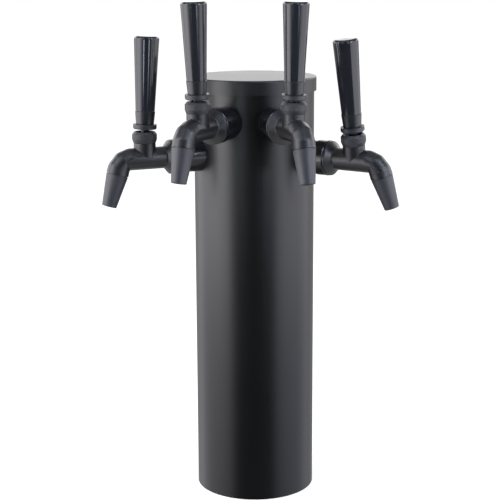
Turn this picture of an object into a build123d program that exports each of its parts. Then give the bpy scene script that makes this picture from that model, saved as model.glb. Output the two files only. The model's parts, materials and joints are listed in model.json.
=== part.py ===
import os
from math import cos, radians, sin, tan

from build123d import *

os.makedirs("parts", exist_ok=True)

# Millimetres. The origin is the centre of the foot, +Z is up and the front is -Y.
# A tap is drawn in its own frame: +X leads away from the column's axis, +Z is up,
# X = 0 is the column's axis and Z = 0 is the axis of the tap's barrel.

# Fits. A screwed joint is drawn at one common radius.
running_clearance = 0.1  # shuttle guide in the barrel
seal_clearance = 0.05  # O-rings against the wall that they wipe
ball_clearance = 0.15  # lever ball in its seats
slot_clearance = 0.4  # lever tip in the shuttle's pocket
hole_clearance = 0.2  # shanks through plain holes
cutter_spare = 1.0  # how far a cut passes the surface that it trims

# Column
column_radius = 63.5
column_wall = 1.5
column_height = 447.3
bore_radius = column_radius - column_wall

# Cap
cap_thickness = 1.5
cap_wall = 1.5
cap_gap = 0.8  # between the skirt and the column
cap_skirt = 13.4  # how far the skirt comes down over the column
cap_rounding = 1.6
cap_ring_gap = 0.3
cap_ring_wall = 3.6
cap_ring_depth = 12.0
cap_seal_wire = 1.2  # radius of the O-ring's section
cap_seal_depth = 8.0  # below the cap's underside

# Foot
base_thickness = 6.0
base_opening_radius = 38.0
bolt_circle_radius = 50.0
bolt_hole_radius = 2.5
bolt_count = 4

# Insulation
sleeve_gap = 0.3
sleeve_wall = 9.7
sleeve_headroom = 8.7  # between the sleeve and the lowest locknuts

# Where the taps stand: azimuth from the front, height of the barrel's axis, lean of the lever,
# and how far the tap is turned about its barrel
front_drop = 41.8  # from the column's top down to the barrel's axis
side_drop = 78.4
front_height = column_height - front_drop
side_height = column_height - side_drop
taps = {
    "outer_left": {"azimuth": -61.3, "height": side_height, "lean": -2.5, "turn": 0.0},
    "inner_left": {"azimuth": -21.8, "height": front_height, "lean": 3.2, "turn": 0.0},
    "inner_right": {"azimuth": 22.9, "height": front_height, "lean": 3.6, "turn": 0.0},
    "outer_right": {"azimuth": 60.7, "height": side_height, "lean": -1.1, "turn": 8.4},
}

# Shank and what it carries
shank_radius = 11.1
shank_bore_radius = 3.2
shank_tail = 12.0  # how far the shank passes its locknut
shank_flange_radius = 13.6
shank_flange_thickness = 2.5
collar_radius = 17.0
collar_length = 17.6  # from the column's wall to the coupling nut
collar_edge = 0.6
nut_radius = 18.1
nut_length = 13.0
nut_lip = 3.5
nut_edge = 0.8
spanner_hole_radius = 2.3
spanner_hole_depth = 2.6
washer_thickness = 1.5
washer_bore_radius = 6.0
washer_gap = 0.2
shank_washer_radius = 16.0
shank_washer_thickness = 5.0
locknut_flats = 30.0
locknut_thickness = 7.0

# Line elbow
elbow_nut_radius = 12.5
elbow_nut_length = 8.0
elbow_nut_wall = 3.0
line_leg_offset = 11.0  # from the shank's inner end to the leg
line_leg_radius = 7.5
line_leg_length = 22.0
line_bore_radius = 4.05
line_bore_depth = 15.0

# Tap body
flange_gap = 0.8  # between the coupling nut and the bell flange
flange_radius = 17.7
flange_rim = 1.8
flange_cone = 5.3
flange_edge = 1.2
flange_root = 2.5
tail_radius = 14.2
barrel_radius = 11.35
barrel_bore_radius = 8.0
lever_distance = 27.9  # from the bell flange to the lever
boss_radius = 11.3
boss_height = 16.3
boss_root = 1.2
boss_thread_radius = 10.5
boss_thread_height = 7.9
boss_bore_radius = 8.6
boss_floor = 9.0
lever_hole_radius = 7.0
elbow_distance = 25.7  # from the lever to where the barrel's axis meets the spout's
spout_lean = 16.7  # forward of straight down
elbow_facets = (0.0, 20.0, 50.0, 90.0 - spout_lean)
elbow_root = 1.2
elbow_spare = 6.1  # how much wider the outer sweep turns than the inner corner
seam_distance = 15.05  # from the elbow's centre to the spout's seam
rim_radius = 11.55  # the body flares a little towards the seam
rim_height = 5.0
throat_distance = 12.2  # from the throat's start to the elbow's centre
throat_radius = 5.6

# Spout
spout_length = 34.0
spout_top_radius = 11.25
spout_tip_radius = 7.55
spout_bore_radius = 4.6
spout_edge = 0.5
seam_groove_width = 0.9
seam_groove_depth = 1.0
spigot_radius = 7.6
spigot_length = 6.0
gasket_thickness = 1.2

# Lever
ball_height = 18.5
ball_radius = 8.3
arm_radius = 1.8
arm_root_radius = 2.5
arm_root_length = 3.0
tip_radius = 3.0
neck_radius = 4.0
stud_radius = 4.75
stud_height = 20.0  # above the lever nut
stud_chamfer = 1.0
seat_width = 1.6
seat_gap = 1.0  # between the ball's middle and the seat's rim
friction_top = 0.4  # how far the friction washer stands above the boss
friction_height = 4.1

# Bonnet
bonnet_radius = 12.75
bonnet_height = 11.5
bonnet_foot_radius = 11.6
bonnet_foot_height = 3.8
bonnet_foot_edge = 0.5
bonnet_top_radius = 10.7
bonnet_chamfer_height = 2.5
bonnet_mouth_radius = 7.5
bonnet_lip = 1.1
knurl_count = 60
knurl_radius = 0.35

# Lever nut, ferrule and handle
lever_nut_gap = 2.6
lever_nut_radius = 12.1
lever_nut_height = 4.8
lever_nut_chamfer = 0.9
lever_nut_dome = 14.7
ferrule_height = 13.5
ferrule_bottom_radius = 9.15
ferrule_top_radius = 10.3
ferrule_edge = 0.4
ferrule_spigot_radius = 7.0
ferrule_spigot_height = 12.0
handle_height = 76.3
handle_bottom_radius = 9.85
handle_top_radius = 12.9
handle_edge = 3.0
handle_crown = 0.8

# Shuttle
yoke_radius = 6.2
yoke_length = 12.4
yoke_top = 2.8
pocket_depth = 4.2
pocket_rounding = 1.7
rod_radius = 2.6
guide_thickness = 3.0
guide_offset = 10.2  # from the lever back to the guide's middle
guide_notch_radius = 2.2
guide_notch_count = 4
seal_depth = 2.0  # how far the seal stands inside the throat
head_length = 4.4
head_clearance = 0.25
shuttle_wire = 0.8

# Places along the tap's axis that follow from the sizes above
nut_back = column_radius + collar_length
nut_front = nut_back + nut_length
shank_face = nut_back + nut_lip + shank_flange_thickness
tail_back = shank_face + washer_thickness
flange_back = nut_front + flange_gap
lever_position = flange_back + lever_distance
elbow_position = lever_position + elbow_distance
throat_position = elbow_position - throat_distance
seal_position = throat_position + seal_depth
locknut_outer = bore_radius - shank_washer_thickness
locknut_inner = locknut_outer - locknut_thickness
shank_inner_end = locknut_inner - shank_tail
line_leg_position = shank_inner_end - line_leg_offset

# Places up the lever that follow from the sizes above
bonnet_top = boss_height + bonnet_height
boss_top = boss_height + boss_thread_height
friction_top_height = boss_top + friction_top
lever_nut_bottom = bonnet_top + lever_nut_gap
lever_nut_top = lever_nut_bottom + lever_nut_height
ferrule_top = lever_nut_top + ferrule_height
handle_top = ferrule_top + handle_height

barrel_axis = Axis.X
lever_axis = Axis((lever_position, 0, 0), (0, 0, 1))
lever_section = Plane(origin=(lever_position, 0, 0), x_dir=(1, 0, 0), z_dir=(0, -1, 0))
spout_direction = Vector(sin(radians(spout_lean)), 0, -cos(radians(spout_lean)))
spout_across = Vector(cos(radians(spout_lean)), 0, sin(radians(spout_lean)))
spout_root = Vector(elbow_position, 0, 0)
spout_section = Plane(origin=spout_root, x_dir=spout_across, z_dir=(0, 1, 0))
spout_axis = Axis(spout_root, spout_direction)


def turn(points, section, axis, mode=Mode.ADD, rounding=()):
    """Spin the outline through the points about the axis, with some corners rounded."""
    with BuildSketch(section) as outline:
        with BuildLine():
            Polyline(*points, close=True)
        make_face()
        for corner, radius in rounding:
            nearest = outline.vertices().sort_by_distance((*corner, 0))[0]
            fillet(nearest, radius)
    revolve(outline.sketch, axis=axis, mode=mode)


def rod(plane, radius, length, mode=Mode.ADD):
    """A round bar along the plane's normal."""
    with BuildSketch(plane) as circle:
        Circle(radius)
    extrude(circle.sketch, amount=length, mode=mode)


def tap_plane(position):
    """The plane across the tap's axis at a distance from the column's axis."""
    return Plane(origin=(position, 0, 0), x_dir=(0, 1, 0), z_dir=(1, 0, 0))


def save(piece, name, places=(Location(),)):
    """Write one node, with a copy of the piece at each place."""
    with BuildPart() as node:
        for place in places:
            add(piece.moved(place))
    node.part.label = name
    export_step(node.part, f"parts/{name}.step")


def seat_place(tap):
    """What sits on the column's curve is never turned."""
    return Location((0, 0, taps[tap]["height"]), (0, 0, taps[tap]["azimuth"] - 90))


def tap_place(tap):
    return seat_place(tap) * Location((0, 0, 0), (taps[tap]["turn"], 0, 0))


def lever_place(tap):
    """The lever's parts lean about the centre of the ball."""
    there = Location((lever_position, 0, ball_height))
    return tap_place(tap) * there * Location((0, 0, 0), (0, taps[tap]["lean"], 0)) * there.inverse()


def shuttle_place(tap):
    """The lever's tip carries the shuttle back as the lever leans forward."""
    travel = ball_height * radians(taps[tap]["lean"])
    return tap_place(tap) * Location((-travel, 0, 0))


# Column: a plain tube with a hole for each shank
with BuildPart() as column:
    rod(Plane.XY, column_radius, column_height)
    rod(Plane.XY, bore_radius, column_height, Mode.SUBTRACT)
    for tap in taps:
        across = Plane(seat_place(tap) * tap_plane(0).location)
        rod(across, shank_radius + hole_clearance, 2 * column_radius, Mode.SUBTRACT)

# Base ring: welded inside the foot, tapped for the bolts that come up through the bar top
with BuildPart() as base_ring:
    with BuildSketch():
        Circle(bore_radius)
        Circle(base_opening_radius, mode=Mode.SUBTRACT)
        with PolarLocations(bolt_circle_radius, bolt_count, start_angle=180 / bolt_count):
            Circle(bolt_hole_radius, mode=Mode.SUBTRACT)
    extrude(amount=base_thickness)

# Insulation sleeve: a foam tube between the base ring and the lowest shanks
with BuildPart() as insulation_sleeve:
    sleeve_radius = bore_radius - sleeve_gap
    locknut_corner = locknut_flats / 2 / cos(radians(30))
    sleeve_top = min(front_height, side_height) - locknut_corner - sleeve_headroom
    with BuildSketch(Plane.XY.offset(base_thickness)):
        Circle(sleeve_radius)
        Circle(sleeve_radius - sleeve_wall, mode=Mode.SUBTRACT)
    extrude(amount=sleeve_top - base_thickness)

# Cap: a disc and a skirt, spun from one sheet
cap_radius = column_radius + cap_gap + cap_wall
cap_top = column_height + cap_thickness
cap_bottom = column_height - cap_skirt
with BuildPart() as cap:
    rod(Plane.XY.offset(cap_bottom), cap_radius, cap_top - cap_bottom)
    fillet(cap.edges().group_by(Axis.Z)[-1], cap_rounding)
    rod(Plane.XY.offset(cap_bottom), cap_radius - cap_wall, cap_skirt, Mode.SUBTRACT)

# Cap ring: the spigot under the cap, grooved for its O-ring
cap_ring_radius = bore_radius - cap_ring_gap
cap_seal_radius = bore_radius - seal_clearance - cap_seal_wire
cap_seal_height = column_height - cap_seal_depth
with BuildPart() as cap_ring:
    groove_bottom = cap_seal_radius - cap_seal_wire
    outline = [
        (cap_ring_radius - cap_ring_wall, column_height),
        (cap_ring_radius, column_height),
        (cap_ring_radius, cap_seal_height + cap_seal_wire),
        (groove_bottom, cap_seal_height + cap_seal_wire),
        (groove_bottom, cap_seal_height - cap_seal_wire),
        (cap_ring_radius, cap_seal_height - cap_seal_wire),
        (cap_ring_radius, column_height - cap_ring_depth),
        (cap_ring_radius - cap_ring_wall, column_height - cap_ring_depth),
    ]
    turn(outline, Plane.XZ, Axis.Z)

with BuildPart() as cap_seal:
    with BuildSketch(Plane.XZ):
        with Locations((cap_seal_radius, cap_seal_height)):
            Circle(cap_seal_wire)
    revolve(axis=Axis.Z)

# Shank collar: seats on the column's curve
with BuildPart() as shank_collar:
    rod(tap_plane(0), collar_radius, nut_back)
    chamfer(shank_collar.edges().group_by(Axis.X)[-1], collar_edge)
    rod(tap_plane(0), shank_radius + hole_clearance, nut_back, Mode.SUBTRACT)
    rod(Plane.XY.offset(-collar_radius), column_radius, 2 * collar_radius, Mode.SUBTRACT)

# Coupling nut: its lip pulls the shank's flange against the tap's tail; a spanner hole underneath
with BuildPart() as coupling_nut:
    outline = [
        (nut_back, shank_radius + hole_clearance),
        (nut_back, nut_radius - nut_edge),
        (nut_back + nut_edge, nut_radius),
        (nut_front - nut_edge, nut_radius),
        (nut_front, nut_radius - nut_edge),
        (nut_front, tail_radius),
        (nut_back + nut_lip, tail_radius),
        (nut_back + nut_lip, shank_radius + hole_clearance),
    ]
    turn(outline, Plane.XZ, barrel_axis)
    hole_start = Vector((nut_back + nut_front) / 2, 0, -nut_radius)
    rod(Plane(origin=hole_start), spanner_hole_radius, spanner_hole_depth, Mode.SUBTRACT)

# Shank: a threaded tube with a flange at the tap's end
with BuildPart() as shank:
    outline = [
        (shank_inner_end, shank_bore_radius),
        (shank_inner_end, shank_radius),
        (nut_back + nut_lip, shank_radius),
        (nut_back + nut_lip, shank_flange_radius),
        (shank_face, shank_flange_radius),
        (shank_face, shank_bore_radius),
    ]
    turn(outline, Plane.XZ, barrel_axis)

with BuildPart() as coupling_washer:
    rod(tap_plane(shank_face), tail_radius - washer_gap, washer_thickness)
    rod(tap_plane(shank_face), washer_bore_radius, washer_thickness, Mode.SUBTRACT)

# Shank washer: curved on the column's side, flat on the locknut's
with BuildPart() as shank_washer:
    rod(tap_plane(locknut_outer), shank_washer_radius, shank_washer_thickness)
    rod(tap_plane(locknut_outer), shank_radius + hole_clearance, shank_washer_thickness, Mode.SUBTRACT)
    rod(Plane.XY.offset(-shank_washer_radius), bore_radius, 2 * shank_washer_radius, Mode.INTERSECT)

with BuildPart() as shank_locknut:
    with BuildSketch(tap_plane(locknut_inner)):
        RegularPolygon(locknut_flats / 2, 6, major_radius=False)
        Circle(shank_radius, mode=Mode.SUBTRACT)
    extrude(amount=locknut_thickness)

# Line elbow: a swivel nut on the shank's inner end and a push-in leg that points down
with BuildPart() as line_elbow:
    nut_start = shank_inner_end - elbow_nut_wall
    rod(tap_plane(nut_start), elbow_nut_radius, elbow_nut_wall + elbow_nut_length)
    rod(tap_plane(line_leg_position), line_leg_radius, nut_start - line_leg_position)
    leg = Plane(origin=(line_leg_position, 0, 0), z_dir=(0, 0, -1))
    rod(leg, line_leg_radius, line_leg_length)
    with Locations((line_leg_position, 0, 0)):
        Sphere(line_leg_radius)
    rod(tap_plane(shank_inner_end), shank_radius, elbow_nut_length, Mode.SUBTRACT)
    rod(tap_plane(line_leg_position), shank_bore_radius, elbow_nut_length + elbow_nut_wall, Mode.SUBTRACT)
    rod(leg, shank_bore_radius, line_leg_length, Mode.SUBTRACT)
    rod(leg.offset(line_leg_length), line_bore_radius, -line_bore_depth, Mode.SUBTRACT)

# Elbow of the tap. Its inner half is a plain mitre, and its outer half turns in soft steps.
turn_angle = 90.0 - spout_lean
mitre = Plane(
    origin=spout_root,
    x_dir=(0, 1, 0),
    z_dir=(cos(radians(turn_angle / 2)), 0, -sin(radians(turn_angle / 2))),
)
overrun = 2 * barrel_radius  # how far both pipes pass the mitre before they are cut
with BuildPart() as spout_side:
    pipe_start = spout_root - spout_direction * overrun
    rod(Plane(origin=pipe_start, z_dir=spout_direction), barrel_radius, seam_distance + overrun)
    split(bisect_by=mitre, keep=Keep.TOP)

with BuildPart() as mitred_pipe:
    rod(tap_plane(flange_back), barrel_radius, elbow_position + overrun - flange_back)
    split(bisect_by=mitre, keep=Keep.BOTTOM)
    add(spout_side.part)

sweep_radius = barrel_radius + elbow_spare
sweep_centre = Vector(elbow_position - sweep_radius * tan(radians(turn_angle / 2)), 0, -sweep_radius)
corners = []
for first, second in zip(elbow_facets, elbow_facets[1:]):
    middle = radians((first + second) / 2)
    reach = sweep_radius / cos(radians((second - first) / 2))
    corners.append(sweep_centre + Vector(sin(middle), 0, cos(middle)) * reach)
seam_centre = spout_root + spout_direction * seam_distance
with BuildPart() as elbow_pipe:
    route = [Vector(flange_back, 0, 0), *corners, seam_centre]
    for start, end in zip(route, route[1:]):
        rod(Plane(origin=start, z_dir=(end - start).normalized()), barrel_radius, (end - start).length)
    with Locations(*corners):
        Sphere(barrel_radius)
    add(mitred_pipe.part, mode=Mode.INTERSECT)
    inner_corner = (elbow_position - barrel_radius * tan(radians(turn_angle / 2)), 0, -barrel_radius)
    creases = elbow_pipe.edges().filter_by(GeomType.ELLIPSE).sort_by_distance(inner_corner)[:2]
    fillet(creases, elbow_root)

# Tap body: tail, bell flange, barrel, boss and elbow in one casting
counterbore = seam_distance - spigot_length - gasket_thickness
with BuildPart() as tap_body:
    add(elbow_pipe.part)
    cone_start = flange_back + flange_rim
    cone_end = cone_start + flange_cone
    bell = [
        (tail_back, barrel_bore_radius),
        (tail_back, tail_radius),
        (flange_back, tail_radius),
        (flange_back, flange_radius),
        (cone_start, flange_radius),
        (cone_end, barrel_radius),
        (cone_end + flange_root, barrel_radius),
        (cone_end + flange_root, barrel_bore_radius),
    ]
    rounding = [((cone_start, flange_radius), flange_edge), ((cone_end, barrel_radius), flange_root)]
    turn(bell, Plane.XZ, barrel_axis, rounding=rounding)
    rod(Plane(lever_section.origin), boss_radius, boss_height)
    fillet(tap_body.edges(Select.LAST).filter_by(GeomType.BSPLINE), boss_root)
    rod(Plane(lever_section.origin), boss_thread_radius, boss_top)
    rim = [
        (throat_radius, seam_distance - rim_height),
        (barrel_radius, seam_distance - rim_height),
        (rim_radius, seam_distance),
        (throat_radius, seam_distance),
    ]
    turn(rim, spout_section, spout_axis)
    lead_in = barrel_bore_radius - throat_radius
    passage = [
        (tail_back, 0),
        (tail_back, barrel_bore_radius),
        (throat_position - lead_in, barrel_bore_radius),
        (throat_position, throat_radius),
        (elbow_position, throat_radius),
        (elbow_position, 0),
    ]
    turn(passage, Plane.XZ, barrel_axis, Mode.SUBTRACT)
    with Locations(spout_root):
        Sphere(throat_radius, mode=Mode.SUBTRACT)
    outlet = [
        (0, 0),
        (throat_radius, 0),
        (throat_radius, counterbore),
        (spigot_radius, counterbore),
        (spigot_radius, seam_distance),
        (0, seam_distance),
    ]
    turn(outlet, spout_section, spout_axis, Mode.SUBTRACT)
    rod(Plane(lever_section.origin), lever_hole_radius, boss_top, Mode.SUBTRACT)
    boss_floor_plane = Plane(lever_section.origin + Vector(0, 0, boss_floor))
    rod(boss_floor_plane, boss_bore_radius, boss_top - boss_floor, Mode.SUBTRACT)

# Spout: a tapered nozzle with a screwed spigot
with BuildPart() as spout:
    spout_tip = seam_distance + spout_length
    outline = [
        (spout_bore_radius, seam_distance - spigot_length),
        (spigot_radius, seam_distance - spigot_length),
        (spigot_radius, seam_distance),
        (spout_top_radius - seam_groove_depth, seam_distance),
        (spout_top_radius - seam_groove_depth, seam_distance + seam_groove_width),
        (spout_top_radius, seam_distance + seam_groove_width),
        (spout_tip_radius, spout_tip),
        (spout_bore_radius, spout_tip),
    ]
    rounding = [((spout_tip_radius, spout_tip), spout_edge)]
    turn(outline, spout_section, spout_axis, rounding=rounding)

with BuildPart() as spout_gasket:
    outline = [
        (throat_radius, counterbore),
        (spigot_radius, counterbore),
        (spigot_radius, counterbore + gasket_thickness),
        (throat_radius, counterbore + gasket_thickness),
    ]
    turn(outline, spout_section, spout_axis)

# Lever: stud, neck, ball, arm and tip in one piece
with BuildPart() as lever:
    stud_top = lever_nut_top + stud_height
    dome_top = ball_height + (lever_nut_dome**2 - stud_radius**2) ** 0.5
    outline = [
        (0, 0),
        (arm_radius, 0),
        (arm_radius, ball_height - ball_radius - arm_root_length),
        (arm_root_radius, ball_height - ball_radius),
        (arm_root_radius, ball_height),
        (neck_radius, ball_height),
        (neck_radius, dome_top - stud_chamfer),
        (stud_radius, dome_top),
        (stud_radius, stud_top - stud_chamfer),
        (stud_radius - stud_chamfer, stud_top),
        (0, stud_top),
    ]
    turn(outline, lever_section, lever_axis)
    with Locations((lever_position, 0, ball_height)):
        Sphere(ball_radius)
    with Locations((lever_position, 0, 0)):
        Sphere(tip_radius)

# Ball seat and friction washer: they grip the ball from below and from above
ball_pocket_radius = ball_radius + ball_clearance
with BuildPart() as ball_seat:
    rod(boss_floor_plane, boss_bore_radius, ball_height - boss_floor)
    rod(boss_floor_plane, boss_bore_radius - seat_width, ball_height - boss_floor, Mode.SUBTRACT)
    with Locations((lever_position, 0, ball_height)):
        Sphere(ball_pocket_radius, mode=Mode.SUBTRACT)
    split(bisect_by=boss_floor_plane.offset(ball_height - boss_floor - seat_gap), keep=Keep.BOTTOM)

with BuildPart() as friction_washer:
    washer_foot = Plane(lever_section.origin + Vector(0, 0, friction_top_height - friction_height))
    rod(washer_foot, boss_bore_radius, friction_height)
    rod(washer_foot, bonnet_mouth_radius, friction_height, Mode.SUBTRACT)
    with Locations((lever_position, 0, ball_height)):
        Sphere(ball_pocket_radius, mode=Mode.SUBTRACT)

# Bonnet: a knurled cap nut with a mouth that lets the lever swing
with BuildPart() as bonnet:
    outline = [
        (boss_thread_radius, boss_height),
        (bonnet_foot_radius - bonnet_foot_edge, boss_height),
        (bonnet_foot_radius, boss_height + bonnet_foot_edge),
        (bonnet_radius, boss_height + bonnet_foot_height),
        (bonnet_radius, bonnet_top - bonnet_chamfer_height),
        (bonnet_top_radius, bonnet_top),
        (bonnet_top_radius - bonnet_lip, bonnet_top),
        (bonnet_mouth_radius, friction_top_height),
        (boss_thread_radius, friction_top_height),
    ]
    turn(outline, lever_section, lever_axis)
    knurl_foot = Plane(lever_section.origin + Vector(0, 0, boss_height + bonnet_foot_height))
    with BuildSketch(knurl_foot):
        with PolarLocations(bonnet_radius + knurl_radius / 2, knurl_count):
            Circle(knurl_radius)
    extrude(amount=bonnet_height - bonnet_foot_height - bonnet_chamfer_height, mode=Mode.SUBTRACT)

# Lever nut: hollow below, so that it swings over the bonnet's rim
with BuildPart() as lever_nut:
    rod(Plane(lever_section.origin + Vector(0, 0, lever_nut_bottom)), lever_nut_radius, lever_nut_height)
    chamfer(lever_nut.edges().group_by(Axis.Z)[0], lever_nut_chamfer)
    with Locations((lever_position, 0, ball_height)):
        Sphere(lever_nut_dome, mode=Mode.SUBTRACT)
    rod(Plane(lever_section.origin), stud_radius, lever_nut_top, Mode.SUBTRACT)

with BuildPart() as ferrule:
    outline = [
        (stud_radius, lever_nut_top),
        (ferrule_bottom_radius, lever_nut_top),
        (ferrule_top_radius, ferrule_top - ferrule_edge),
        (ferrule_top_radius - ferrule_edge, ferrule_top),
        (ferrule_spigot_radius, ferrule_top),
        (ferrule_spigot_radius, ferrule_top + ferrule_spigot_height),
        (stud_radius, ferrule_top + ferrule_spigot_height),
    ]
    turn(outline, lever_section, lever_axis)

with BuildPart() as handle:
    spigot_top = ferrule_top + ferrule_spigot_height
    outline = [
        (0, spigot_top),
        (ferrule_spigot_radius, spigot_top),
        (ferrule_spigot_radius, ferrule_top),
        (handle_bottom_radius, ferrule_top),
        (handle_top_radius, handle_top - handle_crown),
        (0, handle_top),
    ]
    rounding = [((handle_top_radius, handle_top - handle_crown), handle_edge)]
    turn(outline, lever_section, lever_axis, rounding=rounding)

# Shuttle: guide, yoke, rod and sealing head, drawn for an upright lever
head_radius = throat_radius - head_clearance
seal_radius = throat_radius - seal_clearance - shuttle_wire
with BuildPart() as shuttle:
    guide_radius = barrel_bore_radius - running_clearance
    guide_back = lever_position - guide_offset - guide_thickness / 2
    yoke_back = lever_position - yoke_length / 2
    outline = [
        (yoke_back, 0),
        (yoke_back, yoke_radius),
        (yoke_back + yoke_length, yoke_radius),
        (yoke_back + yoke_length, rod_radius),
        (seal_position - head_length / 2, rod_radius),
        (seal_position - head_length / 2, head_radius),
        (seal_position - shuttle_wire, head_radius),
        (seal_position - shuttle_wire, seal_radius - shuttle_wire),
        (seal_position + shuttle_wire, seal_radius - shuttle_wire),
        (seal_position + shuttle_wire, head_radius),
        (seal_position + head_length / 2, head_radius),
        (seal_position + head_length / 2, 0),
    ]
    turn(outline, Plane.XZ, barrel_axis)
    flat = Plane(lever_section.origin + Vector(0, 0, yoke_top))
    rod(flat, yoke_radius + cutter_spare, yoke_radius, Mode.SUBTRACT)
    pocket_reach = tip_radius + slot_clearance
    with BuildSketch(Plane(lever_section.origin + Vector(0, 0, -pocket_depth))):
        RectangleRounded(2 * pocket_reach, 2 * pocket_reach, pocket_rounding)
    extrude(amount=pocket_depth + yoke_top, mode=Mode.SUBTRACT)
    rod(tap_plane(guide_back), guide_radius, guide_thickness)
    rod(tap_plane(guide_back), rod_radius, yoke_back - guide_back)
    with BuildSketch(tap_plane(guide_back)):
        with PolarLocations(guide_radius - guide_notch_radius / 2, guide_notch_count):
            Circle(guide_notch_radius)
    extrude(amount=guide_thickness, mode=Mode.SUBTRACT)

with BuildPart() as shuttle_seal:
    with BuildSketch(Plane.XZ):
        with Locations((seal_position, seal_radius)):
            Circle(shuttle_wire)
    revolve(axis=barrel_axis)

save(column.part, "column")
save(base_ring.part, "base_ring")
save(insulation_sleeve.part, "insulation_sleeve")
save(cap.part, "cap")
save(cap_ring.part, "cap_ring")
save(cap_seal.part, "cap_seal")

fixed_pieces = {
    "coupling_nut": coupling_nut,
    "shank": shank,
    "tap_body": tap_body,
    "spout": spout,
    "bonnet": bonnet,
}
lever_pieces = {"lever": lever, "lever_nut": lever_nut, "ferrule": ferrule, "handle": handle}
shuttle_pieces = {"shuttle": shuttle, "shuttle_seal": shuttle_seal}
for tap in taps:
    for name, piece in fixed_pieces.items():
        save(piece.part, f"{name}_{tap}", [tap_place(tap)])
    for name, piece in lever_pieces.items():
        save(piece.part, f"{name}_{tap}", [lever_place(tap)])
    for name, piece in shuttle_pieces.items():
        save(piece.part, f"{name}_{tap}", [shuttle_place(tap)])

column_pieces = {
    "shank_collars": shank_collar,
    "shank_washers": shank_washer,
    "shank_locknuts": shank_locknut,
    "line_elbows": line_elbow,
}
for name, piece in column_pieces.items():
    save(piece.part, name, [seat_place(tap) for tap in taps])

tap_pieces = {
    "coupling_washers": coupling_washer,
    "ball_seats": ball_seat,
    "friction_washers": friction_washer,
    "spout_gaskets": spout_gasket,
}
for name, piece in tap_pieces.items():
    save(piece.part, name, [tap_place(tap) for tap in taps])
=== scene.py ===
import json
import math

import bpy
from mathutils import Matrix, Vector

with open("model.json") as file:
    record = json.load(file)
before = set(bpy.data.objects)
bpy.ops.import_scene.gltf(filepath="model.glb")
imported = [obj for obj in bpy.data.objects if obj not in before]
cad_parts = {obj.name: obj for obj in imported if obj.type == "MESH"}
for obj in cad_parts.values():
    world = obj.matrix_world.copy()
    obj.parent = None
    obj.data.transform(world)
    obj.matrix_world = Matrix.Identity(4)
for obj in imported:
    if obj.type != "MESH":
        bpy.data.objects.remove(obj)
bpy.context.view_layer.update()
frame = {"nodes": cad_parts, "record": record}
nodes = frame["nodes"]
print("frame loaded:", len(nodes), "nodes")


# shader nodes as plain arithmetic

class Wire:  # one output socket; arithmetic on it adds Math nodes
    def __init__(self, graph, socket):
        self.graph = graph
        self.socket = socket

    def math(self, operation, *operands):
        inputs = dict(enumerate(operands))
        return self.graph.node("ShaderNodeMath", {"operation": operation}, inputs)

    def __add__(self, other):
        return self.math("ADD", self, other)

    def __radd__(self, other):
        return self.math("ADD", other, self)

    def __sub__(self, other):
        return self.math("SUBTRACT", self, other)

    def __rsub__(self, other):
        return self.math("SUBTRACT", other, self)

    def __mul__(self, other):
        return self.math("MULTIPLY", self, other)

    def __rmul__(self, other):
        return self.math("MULTIPLY", other, self)

    def least(self, other):
        return self.math("MINIMUM", self, other)

    def most(self, other):
        return self.math("MAXIMUM", self, other)

    def above(self, edge):
        return self.math("GREATER_THAN", self, edge)

    def fade(self, low, high, first=0.0, last=1.0):  # smooth step from first to last
        inputs = {"Value": self, "From Min": low, "From Max": high, "To Min": first, "To Max": last}
        return self.graph.node("ShaderNodeMapRange", {"interpolation_type": "SMOOTHSTEP"}, inputs)


class Graph:  # the node tree of one material or of the world
    def __init__(self, owner):
        owner.use_nodes = True
        self.owner = owner
        self.tree = owner.node_tree
        self.tree.nodes.clear()

    def node(self, kind, settings=None, inputs=None, output=0):
        made = self.tree.nodes.new(kind)
        for name, value in (settings or {}).items():
            setattr(made, name, value)
        for name, value in (inputs or {}).items():
            if isinstance(value, Wire):
                self.tree.links.new(value.socket, made.inputs[name])
            else:
                made.inputs[name].default_value = value
        return Wire(self, made.outputs[output]) if made.outputs else None

    def place(self):
        return self.node("ShaderNodeTexCoord", output="Object")

    def axes(self, vector):
        return [self.node("ShaderNodeSeparateXYZ", inputs={0: vector}, output=i) for i in range(3)]

    def noise(self, place, size, detail=2.0, roughness=0.5):  # size is a feature's size in metres
        inputs = {"Vector": place, "Scale": 1 / size, "Detail": detail, "Roughness": roughness}
        return self.node("ShaderNodeTexNoise", inputs=inputs)

    def tint(self, share, first, last):  # share 0 is the first colour; 0, 6 and 7 are the colour sockets
        ends = [end if isinstance(end, Wire) else (*end, 1) for end in (first, last)]
        inputs = {0: share, 6: ends[0], 7: ends[1]}
        return self.node("ShaderNodeMix", {"data_type": "RGBA"}, inputs, output=2)

    def bump(self, height, distance, strength):
        inputs = {"Height": height, "Distance": distance, "Strength": strength}
        return self.node("ShaderNodeBump", inputs=inputs)

    def solid(self, colour, roughness, normal, metallic=0.0, specular=0.5):
        inputs = {"Base Color": colour, "Roughness": roughness, "Normal": normal,
                  "Metallic": metallic, "Specular IOR Level": specular}
        return self.finish(self.node("ShaderNodeBsdfPrincipled", inputs=inputs))

    def finish(self, shader, kind="Material"):
        self.node(f"ShaderNodeOutput{kind}", inputs={"Surface": shader})
        return self.owner


# finishes of the visible pieces; a spread is how far the roughness ranges over a surface

powderCoat = {
    "colour": (0.0020, 0.0021, 0.0028),
    "paleColour": (0.0032, 0.0034, 0.0043),
    "roughness": 0.355,
    "cloudSize": 0.09,
    "cloudSpread": 0.05,
    "peelSize": 0.0012,
    "peelSpread": 0.06,
    "peelHeight": 0.00002,
    "peelStrength": 0.6,
    "speckSpacing": 0.018,
    "speckRadius": 0.035,  # as a share of the spacing
    "speckShare": 0.06,
    "speckColour": (0.16, 0.15, 0.14),
}


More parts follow.
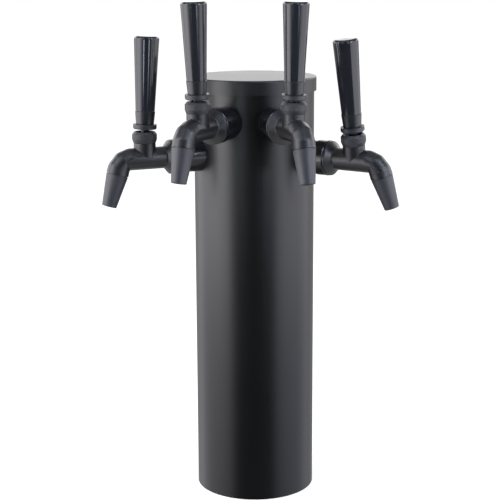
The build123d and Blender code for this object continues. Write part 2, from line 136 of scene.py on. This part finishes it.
def paintPowderCoat(name, look):
    graph = Graph(bpy.data.materials.new(name))
    place = graph.place()
    cloud = graph.noise(place, look["cloudSize"], detail=3)
    peel = graph.noise(place, look["peelSize"])
    cells = {"Vector": place, "Scale": 1 / look["speckSpacing"]}
    distance = graph.node("ShaderNodeTexVoronoi", inputs=cells, output="Distance")
    lottery = graph.axes(graph.node("ShaderNodeTexVoronoi", inputs=cells, output="Color"))[0]
    speck = (look["speckRadius"] - distance).above(0) * (look["speckShare"] - lottery).above(0)
    colour = graph.tint(cloud, look["colour"], look["paleColour"])
    colour = graph.tint(speck, colour, look["speckColour"])
    roughness = (look["roughness"] + (cloud - 0.5) * look["cloudSpread"]
                 + (peel - 0.5) * look["peelSpread"])
    normal = graph.bump(peel, look["peelHeight"], look["peelStrength"])
    return graph.solid(colour, roughness, normal)


# painted light: the cap gets a paler copy of the column paint, standing in for the light it catches
capPaintedLightCoat = dict(powderCoat, colour=(0.006, 0.0064, 0.0088), paleColour=(0.0085, 0.009, 0.012), roughness=0.4)

castBlack = {
    "colour": (0.0095, 0.0098, 0.013),
    "paleColour": (0.0135, 0.0139, 0.018),
    "roughness": 0.37,
    "cloudSize": 0.02,
    "cloudShare": 0.7,  # of the colour
    "cloudSpread": 0.08,
    "grainSize": 0.00045,
    "grainShare": 0.3,
    "grainSpread": 0.05,
    "grainHeight": 0.000012,
    "grainStrength": 0.7,
}


def paintCast(name, look):
    graph = Graph(bpy.data.materials.new(name))
    place = graph.place()
    grain = graph.noise(place, look["grainSize"], detail=3, roughness=0.6)
    cloud = graph.noise(place, look["cloudSize"], detail=3)
    share = cloud * look["cloudShare"] + grain * look["grainShare"]
    colour = graph.tint(share, look["colour"], look["paleColour"])
    roughness = (look["roughness"] + (cloud - 0.5) * look["cloudSpread"]
                 + (grain - 0.5) * look["grainSpread"])
    normal = graph.bump(grain, look["grainHeight"], look["grainStrength"])
    return graph.solid(colour, roughness, normal)


# painted light: the spouts get a paler copy of the tap black, standing in for the light they catch
spoutPaintedLightBlack = dict(castBlack, colour=(0.032, 0.0335, 0.044), paleColour=(0.042, 0.0438, 0.057),
                  roughness=0.46)
bonnetBlack = dict(castBlack, colour=(0.0215, 0.0226, 0.0305), paleColour=(0.032, 0.0333, 0.0435),
                   roughness=0.46)
collarBlack = dict(castBlack, colour=(0.008, 0.0084, 0.0115), paleColour=(0.0115, 0.012, 0.016),
                   roughness=0.22)
ferruleBlack = dict(castBlack, colour=(0.012, 0.0128, 0.016), paleColour=(0.016, 0.017, 0.021),
                    roughness=0.33)

glossBlack = {
    "colour": (0.0205, 0.0225, 0.0300),
    "paleColour": (0.0245, 0.0265, 0.0350),
    "roughness": 0.11,
    "specular": 0.41,
    "fineSize": 0.0005,
    "fineSpread": 0.02,
    "waveSize": 0.006,
    "waveHeight": 0.000006,
    "waveStrength": 0.5,
}


def mouldGloss(name, look):
    graph = Graph(bpy.data.materials.new(name))
    place = graph.place()
    wave = graph.noise(place, look["waveSize"])
    fine = graph.noise(place, look["fineSize"])
    colour = graph.tint(wave, look["colour"], look["paleColour"])
    roughness = look["roughness"] + (fine - 0.5) * look["fineSpread"]
    normal = graph.bump(wave, look["waveHeight"], look["waveStrength"])
    return graph.solid(colour, roughness, normal, specular=look["specular"])


plainTexture = {
    "cloudSize": 0.012,
    "grainSize": 0.0008,
    "grainShare": 0.5,  # of the colour; the cloud has the rest
    "grainSpread": 0.1,
    "grainHeight": 0.00002,
    "grainStrength": 0.5,
}
plainLooks = {
    "lever_steel": {"colour": (0.008, 0.008, 0.010), "paleColour": (0.014, 0.014, 0.017), "roughness": 0.4},
    "shank_steel": {"colour": (0.50, 0.50, 0.51), "paleColour": (0.62, 0.62, 0.63), "roughness": 0.32,
                    "metallic": 1.0},
    "hidden_steel": {"colour": (0.05, 0.05, 0.053), "paleColour": (0.08, 0.08, 0.083), "roughness": 0.5},
    "fitting_plastic": {"colour": (0.50, 0.50, 0.51), "paleColour": (0.58, 0.58, 0.58), "roughness": 0.4},
    "seat_plastic": {"colour": (0.74, 0.74, 0.71), "paleColour": (0.82, 0.82, 0.79), "roughness": 0.4},
    "seal_rubber": {"colour": (0.014, 0.014, 0.014), "paleColour": (0.03, 0.03, 0.03), "roughness": 0.62},
    "foam": {"colour": (0.035, 0.035, 0.038), "paleColour": (0.07, 0.07, 0.075), "roughness": 0.9},
}


def paintPlain(name, look, texture):
    graph = Graph(bpy.data.materials.new(name))
    place = graph.place()
    grain = graph.noise(place, texture["grainSize"], detail=3)
    cloud = graph.noise(place, texture["cloudSize"], detail=3)
    share = cloud * (1 - texture["grainShare"]) + grain * texture["grainShare"]
    colour = graph.tint(share, look["colour"], look["paleColour"])
    roughness = look["roughness"] + (grain - 0.5) * texture["grainSpread"]
    normal = graph.bump(grain, texture["grainHeight"], texture["grainStrength"])
    return graph.solid(colour, roughness, normal, look.get("metallic", 0.0))


finishes = {
    "column_paint": paintPowderCoat("columnPaint", powderCoat),
    "tap_black": paintCast("tapBlack", castBlack),
    "bonnet_black": paintCast("bonnetBlack", bonnetBlack),
    "collar_black": paintCast("collarBlack", collarBlack),
    "ferrule_black": paintCast("ferruleBlack", ferruleBlack),
    "handle_gloss": mouldGloss("handleGloss", glossBlack),
}
for slotName, look in plainLooks.items():
    finishes[slotName] = paintPlain(slotName, look, plainTexture)

# painted light: the spouts and the cap get the paler copies made above
finishes["spout"] = paintCast("spoutPaintedLightBlack", spoutPaintedLightBlack)
finishes["cap"] = paintPowderCoat("capPaintedLight", capPaintedLightCoat)
for row in frame["record"]["subparts"]:
    node, slot = row["node"], row["material_slot"]
    if node == "cap" or node.startswith(("spout_inner", "spout_outer")):
        slot = node.split("_")[0]  # the cap and the spouts get paler copies of the column paint and the tap black: painted light
    nodes[node].material_slots[0].material = finishes[slot]
print("finishes laid on:", len(finishes))


# the room: a pale floor, soft panels and the camera

def aimed(azimuth, distance, height):  # azimuth 0 stands in front, at -Y
    angle = math.radians(azimuth)
    return Vector((distance * math.sin(angle), -distance * math.cos(angle), height))


floorLook = {"colour": (0.9, 0.9, 0.9), "lift": 0.5, "radius": 12.0, "sides": 96}


def layFloor(look):
    bpy.ops.mesh.primitive_circle_add(vertices=look["sides"], radius=look["radius"], fill_type="NGON")
    floor = bpy.context.object
    floor.name = "floor"
    graph = Graph(bpy.data.materials.new("floorPaint"))
    white = graph.node("ShaderNodeBsdfDiffuse", inputs={"Color": (*look["colour"], 1)})
    seen = graph.node("ShaderNodeLightPath", output="Is Camera Ray")
    glow = graph.node("ShaderNodeEmission", inputs={"Strength": seen * look["lift"]})
    lit = graph.node("ShaderNodeAddShader", inputs={0: white, 1: glow})
    below = graph.node("ShaderNodeNewGeometry", output="Backfacing")
    clear = graph.node("ShaderNodeBsdfTransparent")
    mixed = graph.node("ShaderNodeMixShader", inputs={0: below, 1: lit, 2: clear})
    floor.data.materials.append(graph.finish(mixed))
    floor.visible_glossy = False


softboxes = {  # upright arcs of strips that only reflections see; stops are (azimuth, radiance)
    "leftUpper": {"stops": ((-24, 0.1), (-31, 0.5), (-38, 1.6), (-47, 3.4), (-57, 5.2), (-74, 5.1),
                            (-92, 3.1), (-112, 2.0), (-132, 1.1)),
                  "distance": 1.3, "low": 0.18, "high": 1.15, "strips": 16, "colour": (1.0, 0.97, 0.99)},
    "left": {"stops": ((-39, 4.8), (-74, 4.6), (-92, 3.1), (-112, 2.0), (-132, 1.2)), "distance": 1.3,
             "low": -0.05, "high": 0.18, "strips": 12, "colour": (0.965, 0.96, 1.035)},
    "leftBelow": {"stops": ((-39, 1.0), (-74, 1.25), (-92, 1.15), (-132, 0.9)), "distance": 1.3,
                  "low": -0.75, "high": -0.05, "strips": 8, "colour": (0.96, 0.96, 1.04)},
    "rightUpper": {"stops": ((31, 0.1), (43, 0.8), (53, 2.1), (63, 3.0), (73, 3.1), (95, 2.4), (130, 1.1)),
                   "distance": 1.3, "low": 0.18, "high": 1.15, "strips": 14, "colour": (0.97, 0.965, 1.03)},
    "right": {"stops": ((45, 3.2), (72, 3.2), (95, 2.4), (130, 1.2)), "distance": 1.3,
              "low": -0.05, "high": 0.18, "strips": 10, "colour": (0.95, 0.96, 1.05)},
    "rightBelow": {"stops": ((45, 0.8), (72, 1.0), (95, 0.95), (130, 0.75)), "distance": 1.3,
                   "low": -0.75, "high": -0.05, "strips": 7, "colour": (0.92, 0.95, 1.10)},
    "leftLamp": {"stops": ((-46, 9.0), (-70, 9.0)), "distance": 1.3, "low": 1.15, "high": 1.5,
                 "strips": 1, "colour": (0.80, 0.90, 1.15)},
    "rightLamp": {"stops": ((44, 12.0), (68, 12.0)), "distance": 1.3, "low": 1.15, "high": 1.5,
                  "strips": 1, "colour": (0.80, 0.90, 1.15)},
    "rightPanel": {"stops": ((38, 14.0), (57, 14.0)), "distance": 1.29, "low": 0.64, "high": 0.84,
                   "strips": 1, "colour": (0.76, 0.87, 1.05)},
    "leftSpot": {"stops": ((-36, 9.0), (-27, 9.0)), "distance": 0.9, "low": 1.0, "high": 1.8,
                 "strips": 1, "colour": (0.80, 0.90, 1.10)},
    "rightSpot": {"stops": ((20, 8.0), (29, 8.0)), "distance": 0.9, "low": 1.0, "high": 1.8,
                  "strips": 1, "colour": (0.80, 0.90, 1.10)},
    "leftWindow": {"stops": ((-22, 15.0), (-16, 15.0)), "distance": 1.31, "low": 0.29, "high": 0.42,
                   "strips": 1, "colour": (0.76, 0.87, 1.0)},
    "rightWindow": {"stops": ((25, 13.0), (31, 13.0)), "distance": 1.31, "low": 0.27, "high": 0.42,
                    "strips": 1, "colour": (0.76, 0.87, 1.0)},
    "rightSill": {"stops": ((25, 2.0), (33, 2.0)), "distance": 1.31, "low": 0.2, "high": 0.27,
                  "strips": 1, "colour": (0.76, 0.87, 1.0)},
}
fillColour = (0.93, 0.97, 1.1)
fillLamps = {  # broad lamps that only light matt surfaces; tilt is in degrees from straight down
    "above": {"azimuth": 0, "distance": 0.3, "height": 2.2, "size": 2.0, "radiance": 1.4, "tilt": 8},
    "leftSide": {"azimuth": -75, "distance": 1.6, "height": 0.9, "size": 1.4, "radiance": 1.2, "tilt": 80},
    "rightSide": {"azimuth": 80, "distance": 1.6, "height": 0.9, "size": 1.4, "radiance": 0.8, "tilt": 80},
}


def hangLamp(name, size, radiance, colour, place, turn, seenBy):
    lamp = bpy.data.lights.new(name, "AREA")
    lamp.shape = "RECTANGLE"
    lamp.size, lamp.size_y = size
    lamp.color = colour
    lamp.energy = radiance * math.pi * lamp.size * lamp.size_y  # watts for this radiance
    hung = bpy.data.objects.new(name, lamp)
    hung.location = place
    hung.rotation_euler = turn
    hung.visible_camera = False
    hung.visible_diffuse = seenBy == "matt"
    hung.visible_glossy = seenBy == "gloss"
    bpy.context.scene.collection.objects.link(hung)


def levelAt(stops, azimuth):
    for (first, low), (last, high) in zip(stops, stops[1:]):
        if min(first, last) <= azimuth <= max(first, last):
            return low + (high - low) * (azimuth - first) / (last - first)


def hangSoftbox(name, look):
    first, last = look["stops"][0][0], look["stops"][-1][0]
    step = (last - first) / look["strips"]
    width = 2 * look["distance"] * math.tan(math.radians(abs(step) / 2))
    height = look["high"] - look["low"]
    for i in range(look["strips"]):
        azimuth = first + (i + 0.5) * step
        place = aimed(azimuth, look["distance"], look["low"] + height / 2)
        turn = (math.radians(90), 0, math.radians(azimuth))
        radiance = levelAt(look["stops"], azimuth)
        hangLamp(f"{name}{i}", (width, height), radiance, look["colour"], place, turn, "gloss")


def hangFill(name, look):
    place = aimed(look["azimuth"], look["distance"], look["height"])
    turn = (math.radians(look["tilt"]), 0, math.radians(look["azimuth"]))
    hangLamp(name, (look["size"], look["size"]), look["radiance"], fillColour, place, turn, "matt")


worldLook = {  # levels that reflections see; the pairs are where along the direction a level fades
    "fill": 0.6,  # what matt surfaces get from all round
    "front": 0.01,
    "backEdge": (0.1, 0.7),
    "table": 0.9,
    "tableEdge": (-0.85, -0.5),
    "backBelow": 0.6,
    "horizon": 0.3,
    "horizonEdge": (-0.12, -0.04),
    "backdrop": 2.6,
    "backdropFoot": (0.05, 0.08),
    "backdropTop": (0.4, 0.6),
    "backAbove": 0.2,
    "ceiling": 0.5,
    "ceilingEdge": (0.6, 0.85),
}


def paintWorld(look):
    world = bpy.data.worlds.new("studio")
    bpy.context.scene.world = world
    graph = Graph(world)
    camera = graph.node("ShaderNodeLightPath", output="Is Camera Ray")
    glossy = graph.node("ShaderNodeLightPath", output="Is Glossy Ray")
    _, depth, height = graph.axes(graph.node("ShaderNodeTexCoord", output="Generated"))
    back = depth.fade(*look["backEdge"])
    backdrop = height.fade(*look["horizonEdge"], look["backBelow"], look["horizon"])
    backdrop = backdrop.most(height.fade(*look["backdropFoot"], 0, look["backdrop"]))
    backdrop = backdrop.least(height.fade(*look["backdropTop"], look["backdrop"], look["backAbove"]))
    gloss = look["front"] + back * (backdrop - look["front"])
    gloss = gloss.most(height.fade(*look["ceilingEdge"], 0, look["ceiling"]))
    gloss = gloss.most(height.fade(*look["tableEdge"], look["table"], 0))
    level = camera + (1 - camera) * (glossy * gloss + (1 - glossy) * look["fill"])
    glow = graph.node("ShaderNodeBackground", inputs={"Color": (1, 1, 1, 1), "Strength": level})
    graph.finish(glow, "World")


cameraLook = {
    "place": (0.1152, -1.4093, 0.5717),
    "heading": 4.871,  # degrees left of straight ahead
    "pitch": 12.387,  # degrees down
    "roll": -0.257,
    "lens": 96.48,  # millimetres
}


def placeCamera(look):
    camera = bpy.data.objects.new("camera", bpy.data.cameras.new("camera"))
    camera.data.lens = look["lens"]
    turn = Matrix.Rotation(math.radians(look["heading"]), 4, "Z")
    tilt = Matrix.Rotation(math.radians(90 - look["pitch"]), 4, "X")
    roll = Matrix.Rotation(math.radians(look["roll"]), 4, "Z")
    camera.matrix_world = Matrix.Translation(look["place"]) @ turn @ tilt @ roll
    bpy.context.scene.collection.objects.link(camera)
    bpy.context.scene.camera = camera


layFloor(floorLook)
for name, look in softboxes.items():
    hangSoftbox(name, look)
for name, look in fillLamps.items():
    hangFill(name, look)
paintWorld(worldLook)
placeCamera(cameraLook)
bpy.context.scene.view_settings.view_transform = "Standard"
print("room ready:", len(softboxes), "softboxes,", len(fillLamps), "fill lamps")
